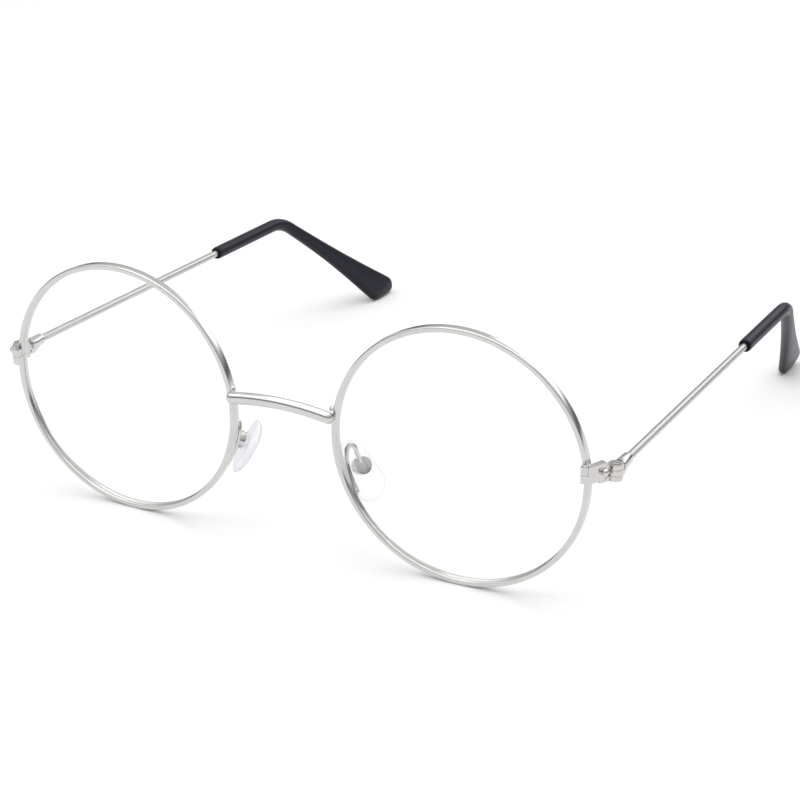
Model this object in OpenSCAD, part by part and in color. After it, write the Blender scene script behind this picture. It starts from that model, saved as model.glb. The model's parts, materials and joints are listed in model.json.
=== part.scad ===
// Round wire eyeglasses with clear lenses, screw-on nose pads and plastic temple tips.
// Frame: Z up, Y towards the wearer's ears, X across the face. The glasses stand open on the
// bottoms of the two rims and of the two temple tips. Every piece is modelled for the +X side,
// which is the wearer's left, and is mirrored for the other.

/* [Lenses and rims] */
// Diameter of each lens in its groove
eye_size = 50; // [44:0.5:54]
// Distance between the two lenses
bridge_size = 22; // [20:0.5:26]
// Radial thickness of the eyewire
wire_thick = 1.1; // [1:0.05:1.4]
// Front to back depth of the eyewire
wire_depth = 1.8; // [1.6:0.1:2.4]
// Thickness of each lens
lens_thick = 1.5; // [1.2:0.1:2]
// Radius of the lens curves
lens_curve = 180; // [150:5:250]
// How far the top of the front leans forward, in degrees
tilt_angle = 3; // [0:0.5:6]
// How far the outer side of each rim is swept back, in degrees
wrap_angle = 1.5; // [0:0.5:3]

/* [Bridge] */
// Height of the bridge wire
bridge_height = 2.4; // [2:0.1:3]
// Depth of the bridge wire
bridge_depth = 1.9; // [1.6:0.1:2.2]
// Length of the bridge over its rounded ends
bridge_length = 22.8; // [22:0.1:24]
// Height of the middle of the bridge above the rim centres
bridge_rise = 4.7; // [3:0.1:6]
// How far the bridge ends are bent down from its middle
bridge_sag = 0.9; // [0.5:0.1:1.5]

/* [End pieces and hinges] */
// Height of the end piece
lug_height = 3.2; // [2.8:0.1:3.6]
// Thickness of the end piece
lug_thick = 1.3; // [1.2:0.05:1.4]
// Height of the end pieces above the rim centres
lug_rise = 2.5; // [1:0.1:4]
// Angle between the outer face of the end piece and the temple, in degrees
lug_turn = 28.8; // [28:0.2:30]
// Distance from the rim centre out to the hinge pin
hinge_reach = 28.4; // [28.2:0.1:28.6]
// Distance of the hinge pin behind the rims
hinge_back = 4.4; // [4.2:0.1:4.6]
// How far the middle of the hinge is below the middle of the end piece
hinge_drop = 1.3; // [1:0.1:1.5]
// Outside diameter of the hinge knuckles
knuckle_dia = 2.8; // [2.6:0.1:3]
// Height of the three knuckles together
hinge_height = 3.1; // [3:0.1:3.6]
// Diameter of the hinge screw
hinge_screw_dia = 1.1; // [1:0.1:1.2]

/* [Temples] */
// Diameter of the temple wire
temple_wire_dia = 1.5; // [1.3:0.1:1.6]
// Distance from the hinge pin to the start of the ear bend
bend_start = 94.5; // [88:0.1:100]
// Angle of the ear bend, in degrees
bend_angle = 40.5; // [36:0.5:44]
// Radius of the ear bend
bend_radius = 12; // [10:0.5:14]
// How far the drop of each temple leans towards the head, in degrees
lean_angle = 18; // [10:1:20]
// How far each temple points inward, in degrees
toe_in = 1; // [0:0.5:2]
// Distance from the hinge pin to the mouth of the temple tip
sleeve_reach = 70.6; // [66:0.1:76]
// Diameter of the temple tip over the wire
sleeve_dia = 2.8; // [2.6:0.1:3.2]
// Thickness of the flat end of the temple tip
paddle_thick = 2.4; // [2.2:0.1:2.8]

/* [Nose pads] */
// Length of each nose pad
pad_length = 12.6; // [12:0.2:14]
// Width of each nose pad
pad_width = 7.4; // [6.5:0.1:8]
// Thickness of each nose pad
pad_thick = 2.2; // [2:0.1:2.4]
// Distance from the middle of the bridge to each pad screw
pad_side = 13.3; // [13:0.1:14]
// Distance of the pad screws behind the rims
pad_back = 4.9; // [4.6:0.1:5.4]
// Distance of the pad screws below the rim centres
pad_drop = 8; // [7.5:0.1:9]
// Sideways slope of the pads, in degrees
pad_slope = 33; // [26:1:36]
// Turn of the pads about their long axis, in degrees
pad_splay = 30; // [20:1:40]
// Backward lean of the pads, in degrees
pad_lean = 6; // [0:1:8]
// Diameter of the pad arm wire
arm_dia = 0.9; // [0.8:0.05:1]

/* [Hidden] */

// Colours
silver = [0.80, 0.80, 0.79];
steel = [0.66, 0.66, 0.66];
clear = [0.90, 0.94, 0.96, 0.35];
navy = [0.14, 0.15, 0.19];
pvc = [0.90, 0.89, 0.94, 0.6];

// Fits and small details
clearance = 0.03;         // round a turning pin
knuckle_gap = 0.05;       // between two knuckles
slot_width = 0.3;         // of every screwdriver slot
slot_depth = 0.3;
lip_radius = 0.32;        // of the rounded corners of the eyewire
groove_width = 0.9;       // half width of the V groove, 1 mm inside the rim
groove_floor = 0.08;      // half width of its floor
lens_seat = 0.03;         // gap round the lens edge
lens_bevel = 0.6;         // half thickness of the lens where its bevel starts
lens_crest = 0.06;        // half thickness of the bevel at its crest

// Rims
rim_mid = eye_size / 2;
rim_out = rim_mid + wire_thick / 2;
rim_in = rim_mid - wire_thick / 2;
rim_x = (eye_size + bridge_size) / 2;
rim_z = (rim_out - lip_radius) * cos(tilt_angle) + (wire_depth / 2 - lip_radius) * sin(tilt_angle)
    + lip_radius;
lens_radius = rim_mid - lens_seat;
lens_dish = lens_curve - sqrt(lens_curve * lens_curve - lens_radius * lens_radius);

// End pieces: a bar across the front of the rim that turns back to the hinge. Its lower half is
// soldered to the rim below the saw cut, and the rim lock is the upper half, above the cut.
lug_front = -wire_depth / 2 - lug_thick;  // front face
lug_start = rim_mid - 0.7;
lug_corner = 1.9;                         // outside radius of the turn
lug_side = rim_mid + 0.95;                // where its outer face would meet its front face
lug_elbow = [lug_side - lug_corner * (1 - sin(lug_turn)) / cos(lug_turn), lug_front + lug_corner];
lug_heading = [sin(lug_turn), cos(lug_turn)];
lug_end_gap = 1.35;                       // between its end and the knuckles
lug_length = ([hinge_reach, hinge_back] - lug_elbow) * lug_heading - knuckle_dia / 2 - lug_end_gap;
lug_edge = 0.3;                           // rounded corners of its end
lock_gap = 0.05;                          // saw cut through the rim and the end piece
lock_side = rim_out + 0.2;                // outer side of the rim lock
lock_screw_x = rim_mid + 0.1;
lock_screw_y = -wire_depth / 2 - lug_thick / 2;
lock_screw_dia = 0.75;
lock_head_dia = 1.2;
lock_head_height = 0.5;
rivet_reach = 2.5;                        // of the rivet past the turn
rivet_dia = 1.4;
shank_dia = 0.7;

// Hinges, with the middle knuckle on the temple
hinge_z = lug_rise * cos(tilt_angle) + hinge_back * sin(tilt_angle) - hinge_drop;
middle_knuckle = 1.1;
leaf_reach = 3.5;                         // of the front leaf from the pin
leaf_thick = 0.85;
web_thick = 1.5;                          // of the butt behind the middle knuckle
wire_z = 0.3;                             // temple wire above the middle of the hinge
butt_start = knuckle_dia / 2 + 0.35;      // of the butt from the pin
butt_rim = 0.9;                           // of the butt below and above the temple wire
butt_end = 4.6;
socket_dia = temple_wire_dia + 0.8;
socket_end = 5.6;
wire_start = 2.4;
hinge_head_dia = 1.8;
hinge_head_sink = 0.3;
hinge_head_proud = 0.2;

// Temples, along the wire (s) and down the leaning drop (q)
drop = rim_z + hinge_z + wire_z;          // wire to table
bend_end = [bend_start + bend_radius * sin(bend_angle), bend_radius * (1 - cos(bend_angle))];
core_end = 24;                            // length of wire past the ear bend
core_lap = 0.5;                           // the thinner end of the wire starts inside the bend
core_step = 0.04;                         // and is this much thinner
heel = [bend_start + 41.6, 2];            // rear lower corner of the tip: reach, radius
toe = [bend_start + 34.8, 3];             // front lower corner of the tip: reach, radius
tip_bottom = (drop + 0.1) / cos(lean_angle);
mouth_radius = 0.5;
edge_radius = 1;                          // rounded edge of the flat end

// Nose pads, from the pad screw
box_dia = 3.4;
box_wall = 0.4;
box_mouth = -0.75;
box_floor = 1.25;
boss_radius = 0.7;
boss_width = 1.5;
pad_face = -1.2;                          // back of the pad
pad_above = 0.42;                         // share of its length above the screw
pad_screw_dia = 0.8;
pad_head_dia = 1.3;
pad_head_height = 0.4;
arm_sides = 10;
arm_steps = 6;                            // rings between two points of the pad arm

// The whole model is moved so that its box is centred over the origin
bridge_y = -2.2;
front_edge = bridge_depth / 2 - bridge_y * cos(tilt_angle) + bridge_rise * sin(tilt_angle);
hinge_y = hinge_reach * sin(wrap_angle) + hinge_back * cos(wrap_angle);
rear_edge = hinge_y + (heel[0] + heel[1]) * cos(toe_in) - drop * tan(lean_angle) * sin(toe_in);
centre_y = (front_edge - rear_edge) / 2;

$fn = 96;

// ---- Places ---------------------------------------------------------------------------------

// Middle of the front, at the height of the rim centres
module on_front() {
    translate([0, centre_y, rim_z]) children();
}

// Hinge side of the rim centre: swept back with the rim, upright
module on_side() {
    on_front() translate([rim_x, 0, 0]) rotate([0, 0, wrap_angle]) children();
}

// Rim centre: swept back and tilted
module on_rim() {
    on_side() rotate([tilt_angle, 0, 0]) children();
}

// Middle of the hinge pin
module on_hinge() {
    on_side() translate([hinge_reach, hinge_back, hinge_z]) rotate([0, 0, -wrap_angle]) children();
}

// Hinge pin, along the temple: X across, Y along the wire, Z up, wire at the origin
module on_temple() {
    on_hinge() rotate([0, 0, toe_in]) translate([0, 0, wire_z]) children();
}

// Plane of the ear bend: X along the wire (s), Y down the drop (q), Z through the paddle
module on_drop() {
    on_temple() rotate([0, lean_angle, 0]) rotate([0, 90, 0]) rotate([0, 0, 90]) mirror([0, 1, 0])
        children();
}

// Pad screw: X away from the nose, Y along the screw, Z up the pad
module on_pad() {
    on_front() translate([pad_side, pad_back, -pad_drop]) rotate([pad_lean, 0, 0])
        rotate([0, -pad_slope, 0]) rotate([0, 0, -pad_splay]) children();
}

// The wearer's right side
module other_side() {
    mirror([1, 0, 0]) children();
}

// ---- Rims and lenses ------------------------------------------------------------------------

// Section of the eyewire before its groove is cut: a bar with rounded corners
module eyewire_bar() {
    core_r = wire_thick - 2 * lip_radius;
    core_y = wire_depth - 2 * lip_radius;
    translate([rim_mid, 0]) {
        square([core_r, wire_depth], center = true);
        square([wire_thick, core_y], center = true);
        for (i = [-1, 1], j = [-1, 1])
            translate([i * core_r / 2, j * core_y / 2]) circle(r = lip_radius, $fn = 32);
    }
}

// Ring that the bridge and the end piece are cut to fit
module rim_blank() {
    rotate([90, 0, 0]) rotate_extrude($fn = 180) eyewire_bar();
}

module eyewire() {
    color(silver) on_rim() difference() {
        rotate([90, 0, 0]) rotate_extrude($fn = 180) difference() {
            eyewire_bar();
            polygon([[rim_in - 1, -groove_width], [rim_mid, -groove_floor],
                     [rim_mid, groove_floor], [rim_in - 1, groove_width]]);
        }
        translate([rim_mid, 0, lug_rise]) cube([2 * wire_thick, 2 * wire_depth, lock_gap], center = true);
    }
}

// Meniscus lens with a V bevel round its edge
module lens() {
    shoulder = rim_in - 0.3;
    crest = lens_radius - 0.1;
    color(clear) on_rim() rotate([90, 0, 0]) difference() {
        intersection() {
            union() {
                cylinder(r = rim_in - lens_seat, h = 3 * lens_thick + lens_dish, center = true, $fn = 180);
                rotate_extrude($fn = 180)
                    polygon([[0, -lens_bevel], [shoulder, -lens_bevel], [crest, -lens_crest],
                             [crest, lens_crest], [shoulder, lens_bevel], [0, lens_bevel]]);
            }
            translate([0, 0, lens_dish + lens_thick / 2 - lens_curve]) sphere(r = lens_curve, $fn = 360);
        }
        translate([0, 0, lens_dish - lens_thick / 2 - lens_curve]) sphere(r = lens_curve, $fn = 360);
    }
}

// ---- End pieces -----------------------------------------------------------------------------

// Plan of the end piece: across the rim, round the turn and back to the hinge
module lug_plan() {
    inner = lug_corner - lug_thick;
    reach = 4 * lug_corner;
    bar = lug_elbow[0] - lug_start;
    translate([lug_start, lug_front + lug_edge]) square([bar, lug_thick - 2 * lug_edge]);
    translate([lug_start + lug_edge, lug_front]) square([bar - lug_edge, lug_thick]);
    for (y = [lug_edge, lug_thick - lug_edge])
        translate([lug_start + lug_edge, lug_front + y]) circle(r = lug_edge, $fn = 32);
    translate(lug_elbow) {
        intersection() {
            difference() {
                circle(r = lug_corner);
                circle(r = inner);
            }
            polygon([[0, 0], [0, -reach], [reach, -reach],
                     [reach * cos(lug_turn), -reach * sin(lug_turn)]]);
        }
        rotate(-lug_turn) translate([inner, 0]) square([lug_thick, lug_length]);
    }
}

module lug_blank() {
    translate([0, 0, lug_rise - lug_height / 2]) linear_extrude(lug_height) lug_plan();
}

// Everything above the saw cut and inside the given side
module lock_space(side, low) {
    translate([lug_start - 1, lug_front - 1, lug_rise + low])
        cube([side - lug_start + 1, 2 * lug_thick + wire_depth, lug_height]);
}

module lock_screw_hole(dia) {
    translate([lock_screw_x, lock_screw_y, lug_rise])
        cylinder(d = dia, h = 2 * lug_height, center = true, $fn = 32);
}

module on_rivet() {
    translate([lug_elbow[0], lug_elbow[1], lug_rise]) rotate([0, 0, -lug_turn])
        translate([lug_corner, rivet_reach, 0]) rotate([0, 90, 0]) children();
}

module lug() {
    color(silver) on_rim() difference() {
        lug_blank();
        lock_space(lock_side + lock_gap, -lock_gap / 2);
        rim_blank();
        lock_screw_hole(lock_screw_dia);
        on_rivet() cylinder(d = shank_dia, h = 3 * lug_thick, center = true, $fn = 32);
    }
}

// Upper closing block, which the lock screw pulls down on the end piece to shut the rim
module rim_lock() {
    color(silver) on_rim() difference() {
        intersection() {
            lug_blank();
            lock_space(lock_side, lock_gap / 2);
        }
        rim_blank();
        lock_screw_hole(lock_screw_dia + 2 * clearance);
    }
}

module lock_screw() {
    top = lug_height / 2;
    color(steel) on_rim() translate([lock_screw_x, lock_screw_y, lug_rise]) difference() {
        union() {
            translate([0, 0, 0.2 - top]) cylinder(d = lock_screw_dia, h = 2 * top - 0.2, $fn = 32);
            translate([0, 0, top]) cylinder(d = lock_head_dia, h = lock_head_height, $fn = 32);
        }
        translate([0, 0, top + lock_head_height])
            rotate([0, 0, 35]) cube([2 * lock_head_dia, slot_width, 2 * slot_depth], center = true);
    }
}

// Domed rivet through the side of the end piece
module lug_rivet() {
    dome = rivet_dia / 2;
    collar = 0.25;
    color(silver) on_rim() on_rivet() {
        translate([0, 0, -lug_thick]) cylinder(d = shank_dia, h = lug_thick + collar, $fn = 32);
        cylinder(r = dome, h = collar, $fn = 48);
        intersection() {
            translate([0, 0, collar]) sphere(r = dome, $fn = 48);
            translate([0, 0, collar + dome]) cube(2 * dome, center = true);
        }
    }
}

// ---- Hinges ---------------------------------------------------------------------------------

// Two outer knuckles with the leaf that is soldered inside the end piece
module hinge_front() {
    radius = knuckle_dia / 2;
    color(silver) difference() {
        on_side() translate([hinge_reach, hinge_back, hinge_z]) difference() {
            union() {
                cylinder(r = radius, h = hinge_height, center = true, $fn = 48);
                rotate([0, 0, -lug_turn]) translate([-leaf_thick, -leaf_reach, -hinge_height / 2])
                    cube([leaf_thick, leaf_reach, hinge_height]);
            }
            cylinder(r = radius + 0.2, h = middle_knuckle + 2 * knuckle_gap, center = true, $fn = 48);
            cylinder(d = hinge_screw_dia + 2 * clearance, h = 2 * hinge_height, center = true, $fn = 32);
            translate([0, 0, hinge_height / 2 - hinge_head_sink])
                cylinder(d = hinge_head_dia + 2 * clearance, h = 1, $fn = 32);
        }
        on_rim() lug_blank();
    }
}

// Middle knuckle and the tapered butt that holds the temple wire
module hinge_rear() {
    low = -hinge_height / 2;
    high = wire_z + butt_rim;
    color(silver) on_temple() translate([0, 0, -wire_z]) difference() {
        union() {
            cylinder(d = knuckle_dia, h = middle_knuckle, center = true, $fn = 48);
            translate([-web_thick / 2, 0, -middle_knuckle / 2])
                cube([web_thick, butt_start + 0.5, middle_knuckle]);
            translate([web_thick / 2, 0, 0]) rotate([0, -90, 0]) linear_extrude(web_thick)
                polygon([[low, butt_start], [low, butt_start + 0.8], [wire_z - butt_rim, butt_end],
                         [high, butt_end], [high, butt_start]]);
            translate([0, wire_start - 0.4, wire_z]) rotate([-90, 0, 0])
                cylinder(d = socket_dia, h = socket_end - wire_start + 0.4, $fn = 48);
        }
        cylinder(d = hinge_screw_dia + 2 * clearance, h = 2 * hinge_height, center = true, $fn = 32);
        translate([0, wire_start, wire_z]) rotate([-90, 0, 0])
            cylinder(d = temple_wire_dia, h = socket_end, $fn = 48);
    }
}

module hinge_screw() {
    top = hinge_height / 2;
    color(steel) on_hinge() difference() {
        union() {
            translate([0, 0, -top])
                cylinder(d = hinge_screw_dia, h = hinge_height - hinge_head_sink, $fn = 32);
            translate([0, 0, top - hinge_head_sink])
                cylinder(d = hinge_head_dia, h = hinge_head_sink + hinge_head_proud, $fn = 32);
        }
        translate([0, 0, top + hinge_head_proud]) rotate([0, 0, 20])
            cube([2 * hinge_head_dia, slot_width, 2 * slot_depth], center = true);
    }
}

// ---- Temples --------------------------------------------------------------------------------

// Round rod along the wire, round the ear bend and down the drop
module bent_rod(dia, start, past) {
    on_drop() {
        translate([start, 0, 0]) rotate([0, 90, 0]) cylinder(d = dia, h = bend_start - start, $fn = 48);
        translate([bend_start, bend_radius, 0]) rotate([0, 0, -90])
            rotate_extrude(angle = bend_angle, $fn = 144)
                translate([bend_radius, 0]) circle(d = dia, $fn = 48);
        if (past > 0) translate(bend_end) rotate([0, 0, bend_angle]) translate([-core_lap, 0, 0])
            rotate([0, 90, 0]) cylinder(d = dia - core_step, h = past + core_lap, $fn = 48);
    }
}

module temple_wire() {
    color(silver) bent_rod(temple_wire_dia, wire_start, core_end);
}

// Thin disc with a rounded edge, for the flat end of the tip
module pebble(radius) {
    flat = paddle_thick / 2 - edge_radius;
    translate([0, 0, -flat]) cylinder(r = radius, h = 2 * flat, $fn = 32);
    cylinder(r = radius - edge_radius * 0.6, h = paddle_thick, center = true, $fn = 32);
}

// Plastic sleeve that widens past the ear bend into a flat, round-cornered end
module tip() {
    color(navy) difference() {
        union() {
            bent_rod(sleeve_dia, sleeve_reach + mouth_radius, 0);
            on_drop() translate([sleeve_reach + mouth_radius, 0, 0]) rotate([0, 90, 0]) {
                rotate_extrude() translate([sleeve_dia / 2 - mouth_radius, 0])
                    circle(r = mouth_radius, $fn = 32);
                translate([0, 0, -mouth_radius])
                    cylinder(r = sleeve_dia / 2 - mouth_radius, h = 2 * mouth_radius);
            }
            on_drop() hull() {
                translate(bend_end) rotate([0, 0, bend_angle]) translate([core_lap / 2, 0, 0])
                    sphere(d = sleeve_dia - core_step, $fn = 32);
                translate([toe[0], tip_bottom - toe[1], 0]) pebble(toe[1]);
                translate([heel[0], tip_bottom - heel[1], 0]) pebble(heel[1]);
            }
        }
        bent_rod(temple_wire_dia, sleeve_reach - 1, core_end);
        translate([0, 0, -5]) linear_extrude(5) square(400, center = true);
    }
}

// ---- Bridge ---------------------------------------------------------------------------------

// Upright oval of the bridge wire, on the X and Y axes of the section
module bridge_section() {
    flat = bridge_height - bridge_depth;
    square([bridge_depth, flat], center = true);
    for (i = [-1, 1]) translate([0, i * flat / 2]) circle(d = bridge_depth, $fn = 48);
}

// Shallow arch laid across the front of both rims, cut to sit round them
module bridge() {
    reach = (bridge_length - bridge_depth) / 2;
    radius = (reach * reach + bridge_sag * bridge_sag) / (2 * bridge_sag);
    half = asin(reach / radius);
    flat = bridge_height - bridge_depth;
    color(silver) difference() {
        on_front() rotate([tilt_angle, 0, 0]) translate([0, bridge_y, bridge_rise - radius])
            rotate([90, 0, 0]) {
                rotate([0, 0, 90 - half]) rotate_extrude(angle = 2 * half, $fn = 720)
                    translate([radius, 0]) rotate([0, 0, 90]) bridge_section();
                for (side = [-1, 1]) rotate([0, 0, 90 + side * half]) translate([radius, 0, 0]) {
                    rotate([0, 90, 0]) cylinder(d = bridge_depth, h = flat, center = true, $fn = 48);
                    for (end = [-1, 1])
                        translate([end * flat / 2, 0, 0]) sphere(d = bridge_depth, $fn = 48);
                }
            }
        for (side = [0, 1]) mirror([side, 0, 0]) on_rim() rim_blank();
    }
}

// ---- Nose pads ------------------------------------------------------------------------------

// Cup that is soldered to the pad arm and holds the boss of the pad
module pad_box() {
    color(silver) on_pad() difference() {
        translate([box_mouth, 0, 0]) rotate([0, 90, 0])
            cylinder(d = box_dia, h = box_floor - box_mouth, $fn = 48);
        translate([box_mouth - 1, 0, 0]) rotate([0, 90, 0])
            cylinder(d = box_dia - 2 * box_wall, h = box_floor - box_mouth - box_wall + 1, $fn = 48);
        rotate([90, 0, 0]) cylinder(d = pad_screw_dia, h = 2 * box_dia, center = true, $fn = 32);
    }
}

module pad_screw() {
    height = pad_head_height;
    color(steel) on_pad() rotate([90, 0, 0]) translate([0, 0, -box_dia / 2]) difference() {
        union() {
            translate([0, 0, -height / 4]) cylinder(d = pad_screw_dia, h = box_dia, $fn = 32);
            translate([0, 0, -height]) cylinder(d = pad_head_dia, h = height, $fn = 32);
        }
        translate([0, 0, -height])
            cube([2 * pad_head_dia, slot_width, height], center = true);
    }
}

// Soft oval pad with the boss that the screw passes through
module pad() {
    top_radius = pad_width * 0.42;
    low_radius = pad_width / 2;
    top_z = pad_length * pad_above - top_radius;
    low_z = pad_length * (pad_above - 1) + low_radius;
    color(pvc) on_pad() difference() {
        union() {
            translate([pad_face, 0, 0]) hull() {
                translate([0, 0, top_z]) rotate([0, -90, 0]) {
                    translate([0, 0, 0.4]) cylinder(r = top_radius, h = 0.5, $fn = 32);
                    cylinder(r = top_radius * 0.7, h = pad_thick, $fn = 32);
                }
                translate([0, 0, low_z]) rotate([0, -90, 0]) {
                    translate([0, 0, 0.4]) cylinder(r = low_radius, h = 0.5, $fn = 32);
                    cylinder(r = low_radius * 0.7, h = pad_thick, $fn = 32);
                }
            }
            rotate([90, 0, 0]) cylinder(r = boss_radius, h = boss_width, center = true, $fn = 32);
            translate([pad_face - 0.5, -boss_width / 2, -boss_radius])
                cube([0.5 - pad_face, boss_width, 2 * boss_radius]);
        }
        rotate([90, 0, 0]) cylinder(d = pad_screw_dia + 2 * clearance, h = 6, center = true, $fn = 32);
    }
}

// Catmull-Rom curve through the points
function spline(p, i, t) =
    let(a = p[max(i - 1, 0)], b = p[i], c = p[i + 1], d = p[min(i + 2, len(p) - 1)])
    0.5 * (2 * b + (c - a) * t + (2 * a - 5 * b + 4 * c - d) * t * t
           + (3 * b - a - 3 * c + d) * t * t * t);
function curve(p, steps) =
    concat([for (i = [0 : len(p) - 2], k = [0 : steps - 1]) spline(p, i, k / steps)], [p[len(p) - 1]]);
function unit(v) = v / norm(v);
function heading(p, i) = unit(p[min(i + 1, len(p) - 1)] - p[max(i - 1, 0)]);

// Side vector of each ring, carried along the path without twist
function carried(p, i) =
    i == 0 ? unit(cross(heading(p, 0), [0, 1, 0.3]))
           : let(before = carried(p, i - 1), h = heading(p, i)) unit(before - h * (before * h));

// Round tube along a path of points
module tube(p, dia, sides) {
    rings = len(p);
    points = [for (i = [0 : rings - 1])
        let(u = carried(p, i), v = cross(heading(p, i), u))
        for (k = [0 : sides - 1])
            p[i] + dia / 2 * (cos(360 * k / sides) * u + sin(360 * k / sides) * v)];
    walls = [for (i = [0 : rings - 2], k = [0 : sides - 1])
        let(n = (k + 1) % sides)
        [i * sides + k, i * sides + n, (i + 1) * sides + n, (i + 1) * sides + k]];
    ends = [[for (k = [sides - 1 : -1 : 0]) k], [for (k = [0 : sides - 1]) (rings - 1) * sides + k]];
    polyhedron(points, concat(walls, ends));
}

// Pad arm: soldered behind the rim, up along it, over a tight loop and down into the box
arm_route = [[14.3, 1.6, -12], [13.3, 1.75, -10.2], [12.2, 1.9, -7.6], [11.7, 2.1, -5.2],
             [11.8, 2.5, -3.7], [12.3, 2.8, -3.1], [12.9, 3.2, -3.7], [13.2, 3.5, -5],
             [13.5, 3.9, -6.2], [13.6, 4.1, -7]];

module pad_arm() {
    color(silver) difference() {
        on_front() tube(curve(arm_route, arm_steps), arm_dia, arm_sides);
        on_pad() translate([box_mouth, 0, 0]) rotate([0, 90, 0])
            cylinder(d = box_dia, h = box_floor - box_mouth, $fn = 48);
        on_rim() rim_blank();
    }
}

// ---- Nodes ----------------------------------------------------------------------------------

bridge();
eyewire();  // left_eyewire
other_side() eyewire();  // right_eyewire
lens();  // left_lens
other_side() lens();  // right_lens
rim_lock();  // left_rim_lock
other_side() rim_lock();  // right_rim_lock
lock_screw();  // left_lock_screw
other_side() lock_screw();  // right_lock_screw
lug();  // left_lug
other_side() lug();  // right_lug
lug_rivet();  // left_lug_rivet
other_side() lug_rivet();  // right_lug_rivet
hinge_front();  // left_hinge_front
other_side() hinge_front();  // right_hinge_front
hinge_rear();  // left_hinge_rear
other_side() hinge_rear();  // right_hinge_rear
hinge_screw();  // left_hinge_screw
other_side() hinge_screw();  // right_hinge_screw
temple_wire();  // left_temple_wire
other_side() temple_wire();  // right_temple_wire
tip();  // left_tip
other_side() tip();  // right_tip
pad_arm();  // left_pad_arm
other_side() pad_arm();  // right_pad_arm
pad_box();  // left_pad_box
other_side() pad_box();  // right_pad_box
pad();  // left_pad
other_side() pad();  // right_pad
pad_screw();  // left_pad_screw
other_side() pad_screw();  // right_pad_screw
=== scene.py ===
import json
import math

import bmesh
import bpy
from mathutils import Matrix, Vector


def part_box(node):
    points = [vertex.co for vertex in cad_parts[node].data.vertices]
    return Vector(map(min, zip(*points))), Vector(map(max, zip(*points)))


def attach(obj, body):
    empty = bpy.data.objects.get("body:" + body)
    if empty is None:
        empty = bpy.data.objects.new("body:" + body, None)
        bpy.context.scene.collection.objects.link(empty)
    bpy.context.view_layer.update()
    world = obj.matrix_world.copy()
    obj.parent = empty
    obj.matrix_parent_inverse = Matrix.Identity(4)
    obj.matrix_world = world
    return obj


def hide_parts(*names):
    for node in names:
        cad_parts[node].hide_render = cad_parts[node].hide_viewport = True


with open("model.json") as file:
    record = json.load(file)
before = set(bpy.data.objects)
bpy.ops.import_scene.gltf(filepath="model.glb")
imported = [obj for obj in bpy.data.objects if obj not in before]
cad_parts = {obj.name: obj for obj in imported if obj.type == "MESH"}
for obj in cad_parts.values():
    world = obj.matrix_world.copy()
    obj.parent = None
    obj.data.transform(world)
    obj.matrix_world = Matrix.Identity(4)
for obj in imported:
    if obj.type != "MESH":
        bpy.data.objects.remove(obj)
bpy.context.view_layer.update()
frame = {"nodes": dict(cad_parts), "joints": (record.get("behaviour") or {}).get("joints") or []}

# ---- Camera -----------------------------------------------------------------------------------
# A long lens that looks down on the front from the wearer's left. It is aimed a little to one
# side of the bridge, and is rolled by less than half a degree.
MM = 0.001
CAMERA_AZIMUTH = 27.6
CAMERA_ELEVATION = 21.7
CAMERA_ROLL = 0.4
CAMERA_OFFSET = (21.3, 4.1, 414.8)
ring_low, ring_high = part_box("left_eyewire")
ring_middle = (ring_low + ring_high) / 2
front_middle = Vector((0, ring_middle.y, ring_middle.z))

camera_turn = (Matrix.Rotation(math.radians(CAMERA_AZIMUTH), 3, "Z")
               @ Matrix.Rotation(math.radians(90 - CAMERA_ELEVATION), 3, "X")
               @ Matrix.Rotation(math.radians(CAMERA_ROLL), 3, "Z"))
camera_data = bpy.data.cameras.new("camera")
camera_data.lens = 99.8
camera_data.sensor_width = 36
camera_data.clip_start = 0.01
camera = bpy.data.objects.new("camera", camera_data)
camera.matrix_world = camera_turn.to_4x4()
camera.location = front_middle + camera_turn @ Vector(CAMERA_OFFSET) * MM
bpy.context.scene.collection.objects.link(camera)
bpy.context.scene.camera = camera

# ---- Eyewires ---------------------------------------------------------------------------------
# Each eyewire is nickel silver wire, drawn with a V groove in one side, rolled into a ring and
# silver plated. The ring is cut through at the end piece, so that it opens to take the lens.
# Pieces are modelled in millimetres about their own origin, then set in place in metres.
RIM_RADIUS = 25
RIM_THICK = 1.1
RIM_DEPTH = 1.8
LIP_RADIUS = 0.32
GROOVE_DEPTH = RIM_THICK / 2
CUT_HEIGHT = 2.5
CUT_GAP = 0.1
TILT = math.radians(3)
SWEEP = math.radians(1.5)
on_rim = (Matrix.Translation(ring_middle) @ Matrix.Rotation(SWEEP, 4, "Z")
          @ Matrix.Rotation(TILT, 4, "X") @ Matrix.Scale(MM, 4))


def start(name, add, **settings):
    """Adds a primitive under a name and opens it in edit mode, all selected."""
    if bpy.context.object and bpy.context.object.mode == "EDIT":
        bpy.ops.object.mode_set(mode="OBJECT")
    bpy.ops.object.select_all(action="DESELECT")
    add(**settings)
    bpy.context.object.name = name
    bpy.ops.object.transform_apply()
    bpy.ops.object.mode_set(mode="EDIT")
    bpy.ops.mesh.select_all(action="SELECT")
    return bpy.context.object


def pick(kind, test):
    """Selects the vertices, edges or faces whose middle passes the test, and nothing else."""
    bpy.ops.mesh.select_mode(type=kind)
    bpy.ops.mesh.select_all(action="DESELECT")
    mesh = bmesh.from_edit_mesh(bpy.context.object.data)
    for item in {"VERT": mesh.verts, "EDGE": mesh.edges, "FACE": mesh.faces}[kind]:
        corners = [item] if kind == "VERT" else item.verts
        middle = sum((v.co for v in corners), Vector()) / len(corners)
        item.select_set(test(middle))
    mesh.select_flush(kind != "VERT")
    bmesh.update_edit_mesh(bpy.context.object.data)


def move(x=0, y=0, z=0):
    bpy.ops.transform.translate(value=(x, y, z))


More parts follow.
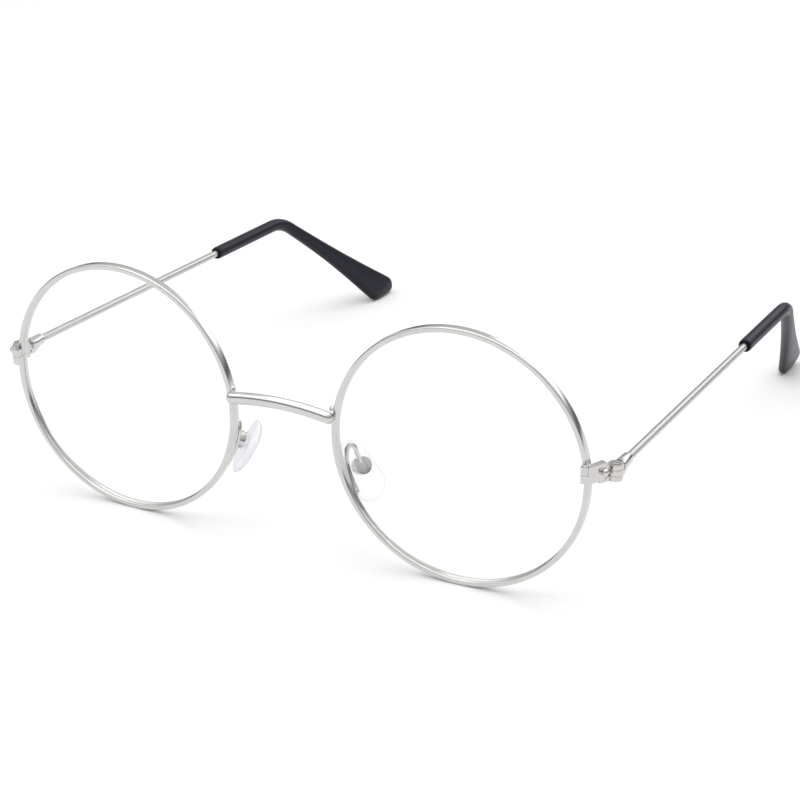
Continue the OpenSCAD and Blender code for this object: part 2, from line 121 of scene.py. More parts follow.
def close_up():
    """Welds the seams, fills the open ends and turns every face outwards."""
    bpy.ops.mesh.select_mode(type="VERT")
    bpy.ops.mesh.select_all(action="SELECT")
    bpy.ops.mesh.remove_doubles(threshold=0.0005)
    bpy.ops.mesh.fill_holes(sides=0)
    bpy.ops.mesh.select_all(action="SELECT")
    bpy.ops.mesh.normals_make_consistent(inside=False)
    bpy.ops.object.mode_set(mode="OBJECT")


def smooth(piece, degrees):
    bpy.ops.object.select_all(action="DESELECT")
    piece.select_set(True)
    bpy.context.view_layer.objects.active = piece
    bpy.ops.object.shade_smooth_by_angle(angle=math.radians(degrees))


def finish_with(piece, kind, **settings):
    """Adds one modifier and applies it."""
    modifier = piece.modifiers.new(kind.title(), kind)
    for name, value in settings.items():
        setattr(modifier, name, value)
    bpy.ops.object.select_all(action="DESELECT")
    piece.select_set(True)
    bpy.context.view_layer.objects.active = piece
    bpy.ops.object.modifier_apply(modifier=modifier.name)


def pair(piece, place, degrees=35):
    """Sets the wearer's left piece in place and returns it with its mirrored right twin."""
    piece.data.transform(place)
    smooth(piece, degrees)
    twin = piece.copy()
    twin.data = piece.data.copy()
    twin.name = piece.name.replace("left_", "right_")
    bpy.context.scene.collection.objects.link(twin)
    twin.data.transform(Matrix.Scale(-1, 4, (1, 0, 0)))
    twin.data.flip_normals()
    return {"left": piece, "right": twin}


def fit(piece, body, nodes, finish):
    """Puts a finished piece on its body, in the place of the CAD nodes it stands for."""
    piece.data.materials.clear()
    piece.data.materials.append(finish)
    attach(piece, body)
    if nodes:
        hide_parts(*nodes)


class Shade:
    """A socket of a material's nodes, on which sums are written as on a number."""

    def __init__(self, tree, socket):
        self.tree = tree
        self.socket = socket

    def node(self, kind, settings, values, output=0):
        """Adds a node, sets its settings and then its sockets, and returns one of its outputs."""
        made = self.tree.nodes.new(kind)
        for name, value in settings.items():
            if name == "stops":
                ramp = made.color_ramp.elements
                while len(ramp) < len(value):
                    ramp.new(1)
                for stop, (position, colour) in zip(ramp, value):
                    stop.position = position
                    stop.color = colour
            else:
                setattr(made, name, value)
        for name, value in values.items():
            if isinstance(value, Shade):
                self.tree.links.new(value.socket, made.inputs[name])
            else:
                made.inputs[name].default_value = value
        return Shade(self.tree, made.outputs[output])

    def maths(self, operation, *others):
        values = {0: self}
        values.update({i + 1: other for i, other in enumerate(others)})
        return self.node("ShaderNodeMath", {"operation": operation}, values)

    def __add__(self, other):
        return self.maths("ADD", other)

    def __mul__(self, other):
        return self.maths("MULTIPLY", other)

    def __sub__(self, other):
        return self.maths("SUBTRACT", other)

    __radd__ = __add__

    def noise(self, scale, detail=3, roughness=0.55):
        """Cloudy noise from 0 to 1 at this vector."""
        return self.node("ShaderNodeTexNoise", {},
                         {"Vector": self, "Scale": scale, "Detail": detail, "Roughness": roughness})

    def stretched(self, x, y, z):
        """This vector, drawn out along the axes whose numbers are small."""
        return self.node("ShaderNodeVectorMath", {"operation": "MULTIPLY"}, {0: self, 1: (x, y, z)})

    def between(self, dark, light):
        """A colour that runs from dark to light as this value runs from 0 to 1."""
        return self.node("ShaderNodeMix", {"data_type": "RGBA"},
                         {"Factor": self, 6: (*dark, 1), 7: (*light, 1)}, output=2)


def new_finish(name, **constants):
    """A material whose shader has these plain values. Returns it, its shader and its place."""
    finish = bpy.data.materials.new(name)
    finish.use_nodes = True
    shader = finish.node_tree.nodes["Principled BSDF"]
    for socket, value in constants.items():
        shader.inputs[socket.replace("_", " ")].default_value = value
    coordinates = finish.node_tree.nodes.new("ShaderNodeTexCoord")
    return finish, shader, Shade(finish.node_tree, coordinates.outputs["Object"])


def surface(shader, place, colour=None, roughness=None, height=None, depth=0.0, alpha=None):
    """Links the values that change over the surface. depth is the height's relief, in metres."""
    for name, value in (("Base Color", colour), ("Roughness", roughness), ("Alpha", alpha)):
        if value is not None:
            place.tree.links.new(value.socket, shader.inputs[name])
    if height is not None:
        bump = place.node("ShaderNodeBump", {}, {"Height": height, "Distance": depth, "Strength": 1.0})
        place.tree.links.new(bump.socket, shader.inputs["Normal"])


def rolled_silver(name, middle):
    """Polished silver plate on wire: fine drawing lines run round the ring with its wire."""
    finish, shader, place = new_finish(name, Metallic=1.0, IOR=1.6)
    centred = place.node("ShaderNodeVectorMath", {"operation": "SUBTRACT"}, {0: place, 1: tuple(middle)})
    parts = centred.node("ShaderNodeSeparateXYZ", {}, {"Vector": centred})
    across = Shade(parts.tree, parts.socket.node.outputs["X"])
    depth = Shade(parts.tree, parts.socket.node.outputs["Y"])
    up = Shade(parts.tree, parts.socket.node.outputs["Z"])
    reach = (across * across + up * up).maths("SQRT")
    round_ring = place.node("ShaderNodeCombineXYZ", {}, {"X": reach, "Y": depth,
                                                         "Z": across.maths("ARCTAN2", up) * 0.002})
    lines = round_ring.noise(9000, detail=2)
    cloud = place.noise(260, detail=4)
    surface(shader, place,
            colour=(cloud * 0.7 + lines * 0.3).between((0.55, 0.54, 0.53), (0.70, 0.69, 0.68)),
            roughness=0.11 + cloud * 0.08 + lines * 0.06,
            height=lines, depth=0.0000012)
    return finish


profile = start("left_rim_wire", bpy.ops.mesh.primitive_plane_add, size=1,
                location=(RIM_RADIUS, 0, 0))
bpy.ops.transform.resize(value=(RIM_THICK, RIM_DEPTH, 1), center_override=(RIM_RADIUS, 0, 0))
bpy.ops.mesh.bevel(offset=LIP_RADIUS, segments=6, affect="VERTICES")
inner = RIM_RADIUS - RIM_THICK / 2
pick("EDGE", lambda m: m.x < inner + 0.001)
bpy.ops.mesh.subdivide(number_cuts=5)
pick("VERT", lambda m: m.x < inner + 0.001 and abs(m.y) < 0.05)
move(x=GROOVE_DEPTH)
pick("VERT", lambda m: m.x < inner + 0.001 and 0.05 < abs(m.y) < 0.25)
move(x=GROOVE_DEPTH / 2)
bpy.ops.mesh.select_all(action="SELECT")
bpy.ops.mesh.delete(type="ONLY_FACE")
cut_angle = math.asin(CUT_HEIGHT / RIM_RADIUS)
cut_width = CUT_GAP / RIM_RADIUS
bpy.ops.mesh.select_all(action="SELECT")
bpy.ops.mesh.spin(steps=200, angle=2 * math.pi - cut_width, center=(0, 0, 0), axis=(0, 1, 0))
close_up()
seam = Matrix.Rotation(-cut_angle - cut_width / 2, 4, "Y")
for side, rim in pair(profile, on_rim @ seam, 40).items():
    middle = ring_middle if side == "left" else Vector((-ring_middle.x, ring_middle.y, ring_middle.z))
    fit(rim, "front", [f"{side}_eyewire"], rolled_silver(f"{side}_rim_silver", middle))

# ---- Lenses -----------------------------------------------------------------------------------
# Plain lenses of clear CR-39, 1.5 mm thick, surfaced as a shallow meniscus and edged with a V
# bevel that sits in the groove of the eyewire.
LENS_THICK = 1.5
LENS_CURVE = 180
LENS_EDGE = 24.42
LENS_CREST = 24.87


def sag(radius):
    """How far a lens surface falls from its edge plane to its middle, at this radius."""
    return math.sqrt(LENS_CURVE ** 2 - radius ** 2) - math.sqrt(LENS_CURVE ** 2 - LENS_EDGE ** 2)


def turn(name, outline, sides):
    """Turns a closed shape about Z, ring by ring, from an outline of radii and heights."""
    (first, height), *rest = outline
    piece = start(name, bpy.ops.mesh.primitive_circle_add, vertices=sides, radius=first,
                  location=(0, 0, height))
    bpy.ops.mesh.select_mode(type="EDGE")
    for radius, level in rest:
        bpy.ops.mesh.extrude_edges_move()
        bpy.ops.transform.resize(value=(radius / first, radius / first, 1),
                                 center_override=(0, 0, height))
        move(z=level - height)
        first, height = radius, level
    close_up()
    return piece


rings = [0.8, 3, 6, 9, 12, 15, 18, 21, 23.2, 24.3]
outline = [(r, sag(r) + LENS_THICK / 2) for r in rings]
outline += [(LENS_EDGE, 0.6), (LENS_EDGE, 0.35), (LENS_CREST, 0.06), (LENS_CREST, -0.06),
            (LENS_EDGE, -0.35), (LENS_EDGE, -0.6)]
outline += [(r, sag(r) - LENS_THICK / 2) for r in reversed(rings)]
lens = turn("left_lens_disc", outline, 144)

clear_lens, shader, place = new_finish(
    "clear_lens", Base_Color=(0.97, 0.985, 0.99, 1), Transmission_Weight=1.0, IOR=1.5, Alpha=0.05)
smears = place.stretched(1, 1, 0.45).noise(90, detail=5)
surface(shader, place, roughness=smears.maths("POWER", 3) * 0.02,
        colour=smears.between((0.955, 0.98, 0.985), (0.985, 0.995, 1.0)))
for side, disc in pair(lens, on_rim @ Matrix.Rotation(math.pi / 2, 4, "X"), 25).items():
    fit(disc, "front", [f"{side}_lens"], clear_lens)

# ---- Bridge -----------------------------------------------------------------------------------
# An oval nickel silver bar with rounded ends, bent to a shallow arch, laid across the front of
# both rims and soldered to them. Two beads of silver solder show in the corners of each joint.
BAR_HEIGHT = 2.4
BAR_DEPTH = 1.9
BAR_LENGTH = 22.8
BAR_SAG = 0.9
BAR_RISE = 4.7
BAR_FRONT = -2.2

bar_reach = (BAR_LENGTH - BAR_DEPTH) / 2
bar_curve = (bar_reach ** 2 + BAR_SAG ** 2) / (2 * BAR_SAG)
bar_half = math.asin(bar_reach / bar_curve)
bar = start("bridge_bar", bpy.ops.mesh.primitive_circle_add, vertices=32, radius=BAR_DEPTH / 2,
            location=(0, 0, bar_curve), rotation=(0, math.pi / 2, 0))
bpy.ops.transform.resize(value=(1, 1, BAR_HEIGHT / BAR_DEPTH), center_override=(0, 0, bar_curve))
bpy.ops.mesh.spin(steps=24, angle=bar_half, center=(0, 0, 0), axis=(0, 1, 0))


def selected_middle():
    """The mean of the selected vertices."""
    mesh = bmesh.from_edit_mesh(bpy.context.object.data)
    chosen = [v.co for v in mesh.verts if v.select]
    return sum(chosen, Vector()) / len(chosen)


def round_end(reach, heading, steps=6, sweep=84):
    """Draws the selected open ring out along a heading into a dome with a tiny flat at its tip."""
    middle = selected_middle()
    bpy.ops.mesh.select_mode(type="EDGE")
    for step in range(steps):
        before, after = (math.radians(sweep * (step + i) / steps) for i in (0, 1))
        bpy.ops.mesh.extrude_edges_move()
        bpy.ops.transform.resize(value=(math.cos(after) / math.cos(before),) * 3,
                                 center_override=middle)
        shift = heading * reach * (math.sin(after) - math.sin(before))
        move(*shift)
        middle = middle + shift


outward = 1 if selected_middle().x > 0 else -1
round_end(BAR_DEPTH / 2, Vector((outward * math.cos(bar_half), 0, -math.sin(bar_half))))
close_up()
bpy.ops.object.mode_set(mode="EDIT")
pick("FACE", lambda m: abs(m.x) < 0.0001)
bpy.ops.mesh.delete(type="ONLY_FACE")
bpy.ops.object.mode_set(mode="OBJECT")
finish_with(bar, "MIRROR", use_axis=(True, False, False), merge_threshold=0.001)
on_bridge = (Matrix.Translation(front_middle) @ Matrix.Rotation(TILT, 4, "X")
             @ Matrix.Translation(Vector((0, BAR_FRONT, BAR_RISE - bar_curve)) * MM)
             @ Matrix.Scale(MM, 4))
bar.data.transform(on_bridge)
smooth(bar, 40)

bar_silver, shader, place = new_finish("bar_silver", Metallic=1.0, IOR=1.6)
lines = place.stretched(0.04, 1, 1).noise(7000, detail=2)
cloud = place.noise(320, detail=4)
surface(shader, place,
        colour=(cloud * 0.7 + lines * 0.3).between((0.55, 0.54, 0.53), (0.70, 0.69, 0.68)),
        roughness=0.10 + cloud * 0.08 + lines * 0.06, height=lines, depth=0.0000012)
fit(bar, "front", ["bridge"], bar_silver)

solder_silver, shader, place = new_finish("solder_silver", Metallic=1.0, IOR=1.6)
ripples = place.noise(2600, detail=4)
surface(shader, place, colour=ripples.between((0.53, 0.52, 0.51), (0.70, 0.69, 0.68)),
        roughness=0.12 + ripples * 0.16, height=ripples, depth=0.00001)


def bead(name, size, middle, seed):
    """A frozen drop of solder: a rounded lump, pushed out of true and relaxed again."""
    drop = start(name, bpy.ops.mesh.primitive_ico_sphere_add, subdivisions=4, radius=1)
    pick("VERT", lambda m: m.z < -0.35)
    bpy.ops.transform.resize(value=(1.25, 1.25, 0.45), center_override=(0, 0, -0.35))
    bpy.ops.mesh.select_all(action="SELECT")
    bpy.ops.transform.vertex_random(offset=0.09, seed=seed)
    bpy.ops.mesh.vertices_smooth(factor=0.5, repeat=5)
    bpy.ops.transform.resize(value=size)
    bpy.ops.object.mode_set(mode="OBJECT")
    drop.data.transform(Matrix.Translation(middle))
    return drop


SOLDER = [("upper", Vector((10.75, -1.1, 5.2)), (0.6, 0.6, 0.55), 3),
          ("lower", Vector((10.7, -1.1, 2.75)), (0.55, 0.55, 0.5), 8)]
on_front = Matrix.Translation(front_middle) @ Matrix.Rotation(TILT, 4, "X") @ Matrix.Scale(MM, 4)
for place_name, middle, size, seed in SOLDER:
    drop = bead(f"left_bridge_solder_{place_name}", size, middle, seed)
    for side, lump in pair(drop, on_front, 60).items():
        fit(lump, "front", [], solder_silver)

# ---- End pieces, hinges and screws ------------------------------------------------------------
# Small parts milled and stamped from nickel silver, tumbled so that their edges are broken, then
# plated. The screws are turned steel. Each is taken from its exact solid and finished here.


def milled(name, node, edge, degrees=32):
    """A copy of an exact solid with its facets merged, its edges broken and its walls smooth."""
    piece = bpy.data.objects.new(name, frame["nodes"][node].data.copy())
    bpy.context.scene.collection.objects.link(piece)
    piece.data.transform(Matrix.Scale(1 / MM, 4))
    bpy.ops.object.select_all(action="DESELECT")
    piece.select_set(True)
    bpy.context.view_layer.objects.active = piece
    bpy.ops.object.mode_set(mode="EDIT")
    bpy.ops.mesh.select_all(action="SELECT")
    bpy.ops.mesh.remove_doubles(threshold=0.001)
    bpy.ops.mesh.dissolve_limited(angle_limit=math.radians(0.5))
    bpy.ops.object.mode_set(mode="OBJECT")
    finish_with(piece, "BEVEL", width=edge, segments=3, limit_method="ANGLE",
                angle_limit=math.radians(degrees), harden_normals=False)
    return piece


milled_silver, shader, place = new_finish("milled_silver", Metallic=1.0, IOR=1.6)
marks = place.stretched(1, 0.12, 1).noise(5200, detail=3)
cloud = place.noise(900, detail=4)
surface(shader, place,
        colour=(cloud * 0.6 + marks * 0.4).between((0.53, 0.52, 0.51), (0.70, 0.69, 0.68)),
        roughness=0.07 + cloud * 0.07 + marks * 0.06, height=marks, depth=0.0000025)

turned_steel, shader, place = new_finish("turned_steel", Metallic=1.0, IOR=2.0)
marks = place.stretched(0.3, 0.3, 1).noise(9000, detail=3)
grime = place.noise(2400, detail=2)
surface(shader, place, colour=(grime * 0.8).between((0.42, 0.42, 0.43), (0.74, 0.74, 0.75)),
        roughness=0.18 + marks * 0.18, height=marks, depth=0.000002)

SMALL_PARTS = [
    ("lug", "end_piece", "front", "silver_metal", milled_silver, 0.04),
    ("rim_lock", "closing_block", "front", "silver_metal", milled_silver, 0.03),
    ("lug_rivet", "rivet", "front", "silver_metal", milled_silver, 0.05),
    ("hinge_front", "hinge_front_leaf", "front", "silver_metal", milled_silver, 0.09),
    ("hinge_rear", "hinge_rear_butt", "temple", "silver_metal", milled_silver, 0.09),
    ("hinge_screw", "hinge_pin_screw", "front", "screw_steel", turned_steel, 0.05),
    ("lock_screw", "closing_screw", "front", "screw_steel", turned_steel, 0.05),
    ("pad_box", "pad_cup", "front", "silver_metal", milled_silver, 0.07),
    ("pad_screw", "pad_cross_screw", "front", "screw_steel", turned_steel, 0.04)]
for node, name, body, slot, finish, edge in SMALL_PARTS:
    part = milled(f"left_{name}", f"left_{node}", edge)
    for side, copy in pair(part, Matrix.Scale(MM, 4), 30).items():
        fit(copy, "front" if body == "front" else f"{side}_temple", [f"{side}_{node}"], finish)

# ---- Temple wires -----------------------------------------------------------------------------
# Each temple is one length of hard 1.5 mm nickel silver wire, silver plated. It is brazed into
# the rear half of the hinge, and runs on round the ear bend inside its plastic tip.
WIRE_RADIUS = 0.75
WIRE_START = 2.4
BEND_START = 94.5
BEND_RADIUS = 12
BEND_ANGLE = math.radians(40.5)
LEAN = math.radians(18)
TOE_IN = math.radians(1)
WIRE_ABOVE_HINGE = 0.3

hinge = next(Vector(j["pos_m"]) for j in frame["joints"] if j["name"] == "left_temple_fold")
on_temple = (Matrix.Translation(hinge) @ Matrix.Rotation(TOE_IN, 4, "Z")
             @ Matrix.Translation((0, 0, WIRE_ABOVE_HINGE * MM)) @ Matrix.Rotation(LEAN, 4, "Y")
             @ Matrix.Scale(MM, 4))
down = Vector((0, math.cos(BEND_ANGLE), -math.sin(BEND_ANGLE)))


def round_ear():
    """Carries the selected ring from the start of the ear bend to its end."""
    bpy.ops.mesh.select_mode(type="EDGE")
    bpy.ops.mesh.spin(steps=16, angle=BEND_ANGLE, center=(0, BEND_START, -BEND_RADIUS), axis=(1, 0, 0))


wire = start("left_temple_rod", bpy.ops.mesh.primitive_circle_add, vertices=32, radius=WIRE_RADIUS,
             location=(0, WIRE_START, 0), rotation=(math.pi / 2, 0, 0))
bpy.ops.mesh.select_mode(type="EDGE")
LENGTHS = 24
for _ in range(LENGTHS):
    bpy.ops.mesh.extrude_edges_move()
    move(y=(BEND_START - WIRE_START) / LENGTHS)
round_ear()
bpy.ops.mesh.extrude_edges_move()
move(*(down * 23))
round_end(WIRE_RADIUS, down, 4)
close_up()

drawn_silver, shader, place = new_finish("drawn_silver", Metallic=1.0, IOR=1.6)
lines = place.stretched(1, 0.015, 1).noise(7600, detail=2)
cloud = place.stretched(1, 0.2, 1).noise(300, detail=4)
surface(shader, place,
        colour=(cloud * 0.6 + lines * 0.4).between((0.46, 0.455, 0.45), (0.62, 0.61, 0.60)),
        roughness=0.24 + cloud * 0.08 + lines * 0.10, height=lines, depth=0.0000015)
for side, rod in pair(wire, on_temple, 40).items():
    fit(rod, f"{side}_temple", [f"{side}_temple_wire"], drawn_silver)

# ---- Temple tips ------------------------------------------------------------------------------
# Dark navy acetate tips, moulded round at the mouth and pressed flat towards the end, pushed hot
# over the wire. Their lower ends are cut level and rounded, and the glasses rest on them.
SLEEVE_START = 70.6
SLEEVE_RADIUS = 1.4
HEEL = (Vector((0, BEND_START + 41.4, -26.4)), 1.9)
TOE = (Vector((0, BEND_START + 34.9, -25.6)), 2.85)
PADDLE_HALF = 1.2

tip = start("left_tip_sleeve", bpy.ops.mesh.primitive_circle_add, vertices=40, radius=0.77,
            location=(0, SLEEVE_START + 1.2, 0), rotation=(math.pi / 2, 0, 0))
bpy.ops.mesh.select_mode(type="EDGE")
reached, size = SLEEVE_START + 1.2, 0.77
MOUTH = [(0.2, 0.82), (0.05, 0.95), (0, 1.12), (0.12, 1.28), (0.4, 1.38), (0.9, 1.4)]
sleeve_steps = [(SLEEVE_START + ahead, radius) for ahead, radius in MOUTH]
sleeve_steps += [(SLEEVE_START + 4 * i, SLEEVE_RADIUS) for i in range(1, 6)]
sleeve_steps += [(BEND_START, SLEEVE_RADIUS)]
for along, radius in sleeve_steps:
    bpy.ops.mesh.extrude_edges_move()
    bpy.ops.transform.resize(value=(radius / size,) * 3, center_override=(0, reached, 0))
    move(y=along - reached)
    reached, size = along, radius
round_ear()


def reshape(old, new):
    """Moves the selected ring from one place, width, thickness and squareness to another."""
    mesh = bmesh.from_edit_mesh(bpy.context.object.data)
    for vert in (v for v in mesh.verts if v.select):
        shares = []
        for part in (vert.co.x / old["half"],
                     (vert.co - old["middle"]).dot(old["across"]) / old["across"].length_squared):
            root = math.copysign(min(abs(part), 1) ** (1 / old["square"]), part)
            shares.append(math.copysign(abs(root) ** new["square"], root))
        vert.co = new["middle"] + new["across"] * shares[1] + Vector((shares[0] * new["half"], 0, 0))
    bmesh.update_edit_mesh(bpy.context.object.data)


def on_edge(corner, degrees):
    """A point on a rounded corner of the flat end, at this angle above the horizontal."""
    angle = math.radians(degrees)
    return corner[0] + Vector((0, math.cos(angle), math.sin(angle))) * corner[1]


bend_end = Vector((0, BEND_START + BEND_RADIUS * math.sin(BEND_ANGLE),
                   -BEND_RADIUS * (1 - math.cos(BEND_ANGLE))))
upward = Vector((0, math.sin(BEND_ANGLE), math.cos(BEND_ANGLE)))
STEPS = 14
CORNER_STEPS = 7
sections = []
for step in range(1, STEPS + CORNER_STEPS + 1):
    share = min(step / STEPS, 1)
    turned = max(step - STEPS, 0) / CORNER_STEPS
    rear = (bend_end + upward * SLEEVE_RADIUS).lerp(on_edge(HEEL, 52), share)
    front = (bend_end - upward * SLEEVE_RADIUS).lerp(on_edge(TOE, 229.5), share)
    rear -= upward * 0.35 * math.sin(math.pi * share)
    front += upward * 0.75 * math.sin(math.pi * share) * (1 - 0.3 * share)
    if turned:
        rear = on_edge(HEEL, 52 - 136 * turned)
        front = on_edge(TOE, 229.5 + 34 * turned)
    sections.append({"middle": (rear + front) / 2, "across": (rear - front) / 2,
                     "half": (SLEEVE_RADIUS + (PADDLE_HALF - SLEEVE_RADIUS) * share)
                     * math.cos(math.radians(52 * turned)),
                     "square": 1 - 0.42 * share})
section = {"middle": bend_end, "across": upward * SLEEVE_RADIUS, "half": SLEEVE_RADIUS, "square": 1}
for following in sections:
    bpy.ops.mesh.extrude_edges_move()
    reshape(section, following)
    section = following
close_up()
finish_with(tip, "SUBSURF", levels=1, render_levels=1)

navy_acetate, shader, place = new_finish(
    "navy_acetate", IOR=1.45, Specular_IOR_Level=0.22, Coat_Weight=0.05, Coat_Roughness=0.15,
    Coat_Tint=(0.6, 0.75, 1.0, 1))
cloud = place.noise(140, detail=4)
specks = place.noise(3800, detail=2)
surface(shader, place, colour=cloud.between((0.003, 0.004, 0.009), (0.007, 0.009, 0.018)),
        roughness=0.26 + cloud * 0.12 + specks * 0.06, height=specks * 0.5 + cloud, depth=0.000012)
for side, sleeve in pair(tip, on_temple, 50).items():
    fit(sleeve, f"{side}_temple", [f"{side}_tip"], navy_acetate)

# ---- Nose pads --------------------------------------------------------------------------------
# Soft clear pads moulded round a small boss. The boss sits in the metal cup and rocks on the
# cross screw. The face that touches the nose is crowned, and the rim is thin.
PAD_TOP = (2.2, 3.1)
PAD_FOOT = (-3.6, 3.7)
PAD_RINGS = [(0.72, -1.2), (0.9, -1.3), (1.0, -1.62), (1.0, -1.9), (0.95, -2.3), (0.84, -2.75),
             (0.62, -3.15), (0.3, -3.38)]
BOSS_LENGTH = 1.4
BOSS_WIDTH = 1.3
BOSS_REACH = 1.6
SCREW_HOLE = 0.43

pad = start("left_pad_cushion", bpy.ops.mesh.primitive_circle_add, vertices=48, radius=1,
            rotation=(0, math.pi / 2, 0))
for test, (height, radius) in ((lambda m: m.z > -0.001, PAD_TOP), (lambda m: m.z < -0.001, PAD_FOOT)):
    pick("VERT", test)
    bpy.ops.transform.resize(value=(1, radius, radius), center_override=(0, 0, 0))
    move(z=height)
    bpy.ops.mesh.hide(unselected=False)
bpy.ops.mesh.reveal(select=False)
bpy.ops.mesh.select_mode(type="EDGE")
bpy.ops.mesh.select_all(action="SELECT")
scale, level = 1, 0
for share, across in PAD_RINGS:
    if level:
        bpy.ops.mesh.extrude_edges_move()
    bpy.ops.transform.resize(value=(1, share / scale, share / scale), center_override=(0, 0, 0))
    move(x=across - level)
    scale, level = share, across
close_up()
finish_with(pad, "SUBSURF", levels=1, render_levels=1)
boss = start("boss", bpy.ops.mesh.primitive_cylinder_add, vertices=32, radius=BOSS_WIDTH / 2,
             depth=BOSS_LENGTH,
             rotation=(math.pi / 2, 0, 0))
pick("VERT", lambda m: m.x < 0.01)
move(x=-BOSS_REACH)
bpy.ops.object.mode_set(mode="OBJECT")
finish_with(boss, "BEVEL", width=0.12, segments=3, limit_method="ANGLE")
finish_with(pad, "BOOLEAN", operation="UNION", solver="EXACT", object=boss)
drill = start("drill", bpy.ops.mesh.primitive_cylinder_add, vertices=32, radius=SCREW_HOLE, depth=6,
              rotation=(math.pi / 2, 0, 0))
bpy.ops.object.mode_set(mode="OBJECT")
finish_with(pad, "BOOLEAN", operation="DIFFERENCE", solver="EXACT", object=drill)
for tool in (boss, drill):
    bpy.data.objects.remove(tool)

PAD_SIDE = 13.3
PAD_BACK = 4.9
PAD_DROP = 8
PAD_RAKE = 6
PAD_SPLAY = 33
PAD_FLARE = 30
pad_turn = (Matrix.Rotation(math.radians(PAD_RAKE), 4, "X")
            @ Matrix.Rotation(math.radians(-PAD_SPLAY), 4, "Y")
            @ Matrix.Rotation(math.radians(-PAD_FLARE), 4, "Z"))
on_pad = (Matrix.Translation(front_middle + Vector((PAD_SIDE, PAD_BACK, -PAD_DROP)) * MM)
          @ pad_turn @ Matrix.Scale(MM, 4))

clear_pvc, shader, place = new_finish(
    "clear_pvc", IOR=1.45, Transmission_Weight=0.35, Subsurface_Weight=0.1,
    Subsurface_Scale=0.002, Coat_Weight=0.2, Coat_Roughness=0.15)
haze = place.noise(420, detail=4)
facing = place.node("ShaderNodeLayerWeight", {}, {"Blend": 0.45}, output=1)
# The colour darkens to lavender where the pad is seen side on. This is partly the plastic's own tint,
# seen through more of it, and partly painted shade on its edges.
tint_and_edge_shade = (facing * facing * 1.2 - haze * 0.1).maths("MAXIMUM", 0).maths("MINIMUM", 1)
surface(shader, place, colour=tint_and_edge_shade.between((0.9, 0.9, 0.97), (0.26, 0.26, 0.42)),
        roughness=0.12 + haze * 0.12, alpha=0.09 + facing * facing * 0.85,
        height=haze, depth=0.00002)
for side, cushion in pair(pad, on_pad, 45).items():
    fit(cushion, f"{side}_nose_pad", [f"{side}_pad"], clear_pvc)

# ---- Pad arms ---------------------------------------------------------------------------------
# Soft 0.9 mm wire, soldered behind the rim, run up along it, looped over and soldered to the
# cup. The wearer's optician bends it to set the pads.
ARM_ROUTE = [(14.3, 1.6, -12), (13.3, 1.75, -10.2), (12.2, 1.9, -7.6), (11.7, 2.1, -5.2),
             (11.8, 2.5, -3.7), (12.3, 2.8, -3.1), (12.9, 3.2, -3.7), (13.2, 3.5, -5),
             (13.5, 3.9, -6.2), (13.55, 4.05, -6.8)]
ARM_RADIUS = 0.45

curve = bpy.data.curves.new("left_pad_wire", "CURVE")
curve.dimensions = "3D"
curve.bevel_depth = ARM_RADIUS
curve.bevel_resolution = 5
curve.resolution_u = 8
curve.use_fill_caps = True
line = curve.splines.new("BEZIER")
line.bezier_points.add(len(ARM_ROUTE) - 1)
for point, spot in zip(line.bezier_points, ARM_ROUTE):
    point.co = spot
    point.handle_left_type = "AUTO"
    point.handle_right_type = "AUTO"
line.bezier_points[0].radius = 1.15
arm = bpy.data.objects.new("left_pad_wire", curve)
bpy.context.scene.collection.objects.link(arm)
bpy.ops.object.select_all(action="DESELECT")
arm.select_set(True)
bpy.context.view_layer.objects.active = arm
bpy.ops.object.convert(target="MESH")
bpy.ops.object.mode_set(mode="EDIT")
close_up()
upright = Matrix.Translation(front_middle) @ Matrix.Scale(MM, 4)
for side, loop in pair(arm, upright, 60).items():
    fit(loop, "front", [f"{side}_pad_arm"], bar_silver)
drop = bead("left_pad_solder", (0.62, 0.5, 0.95), Vector((14.3, 1.15, -11.9)), 5)
for side, lump in pair(drop, upright, 60).items():
    fit(lump, "front", [], solder_silver)

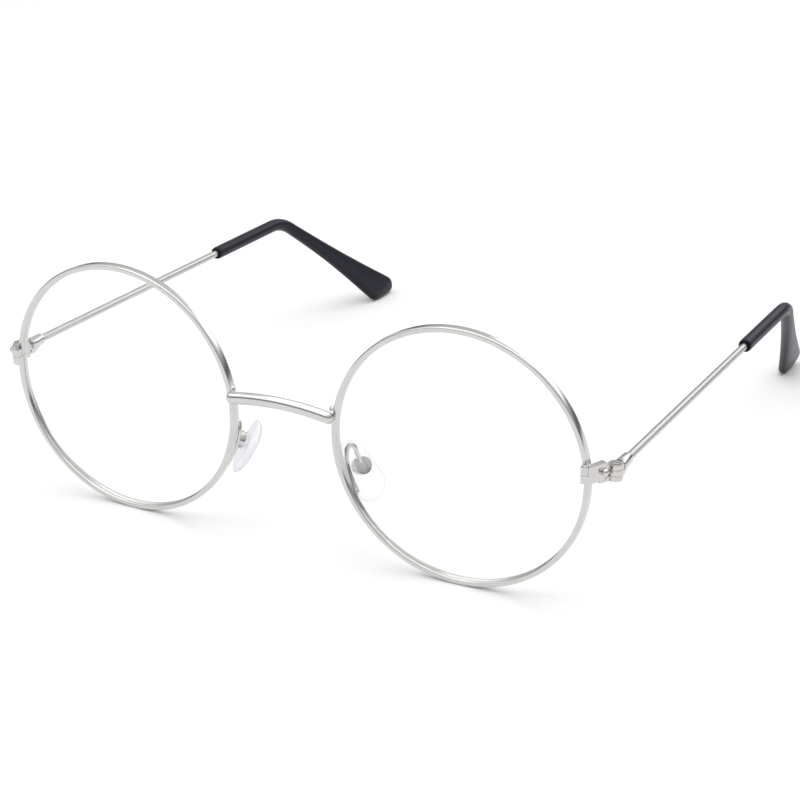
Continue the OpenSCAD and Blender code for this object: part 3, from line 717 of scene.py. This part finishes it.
# ---- Table and light --------------------------------------------------------------------------
# A plain matt white table, wide enough to fill the view. A large soft light hangs above it, and
# two smaller ones stand in front and behind. Pale walls show in the metal.
floor = start("floor", bpy.ops.mesh.primitive_circle_add, vertices=96, radius=6, fill_type="NGON")
bpy.ops.object.mode_set(mode="OBJECT")
white_table, shader, place = new_finish("white_table", Base_Color=(0.9, 0.9, 0.9, 1), Roughness=0.8)
floor.data.materials.append(white_table)


def light(name, power, size, azimuth, elevation, distance):
    """A square soft light that looks at the middle of the glasses."""
    lamp = bpy.data.lights.new(name, "AREA")
    lamp.shape = "RECTANGLE"
    lamp.size, lamp.size_y = size
    lamp.energy = power
    bulb = bpy.data.objects.new(name, lamp)
    turn_to = (Matrix.Rotation(math.radians(azimuth), 4, "Z")
               @ Matrix.Rotation(math.radians(90 - elevation), 4, "X"))
    bulb.matrix_world = Matrix.Translation((0, 0, 0.03)) @ turn_to @ Matrix.Translation((0, 0, distance))
    bulb.visible_camera = False
    bpy.context.scene.collection.objects.link(bulb)


light("overhead", 4.6, (1.2, 1.2), 0, 88, 0.9)
light("front", 1.4, (0.9, 0.5), -40, 35, 1.0)
light("rear", 1.4, (0.9, 0.4), 160, 30, 1.0)

world = bpy.data.worlds.new("studio")
world.use_nodes = True
bpy.context.scene.world = world
background = world.node_tree.nodes["Background"]
direction = Shade(world.node_tree, world.node_tree.nodes.new("ShaderNodeTexCoord").outputs["Generated"])
height = direction.node("ShaderNodeSeparateXYZ", {}, {"Vector": direction}, output=2)
WALLS = [(0.0, (0.1, 0.1, 0.105, 1)), (0.13, (0.13, 0.13, 0.13, 1)), (0.27, (0.62, 0.62, 0.62, 1)),
         (0.7, (0.8, 0.8, 0.8, 1))]
walls = height.node("ShaderNodeValToRGB", {"stops": WALLS}, {"Fac": height})
seen = direction.node("ShaderNodeLightPath", {}, {})
backdrop = seen.node("ShaderNodeMix", {"data_type": "RGBA"},
                     {"Factor": seen, 6: walls, 7: (0.93, 0.93, 0.93, 1)}, output=2)
world.node_tree.links.new(backdrop.socket, background.inputs["Color"])
bpy.context.scene.view_settings.view_transform = "Standard"
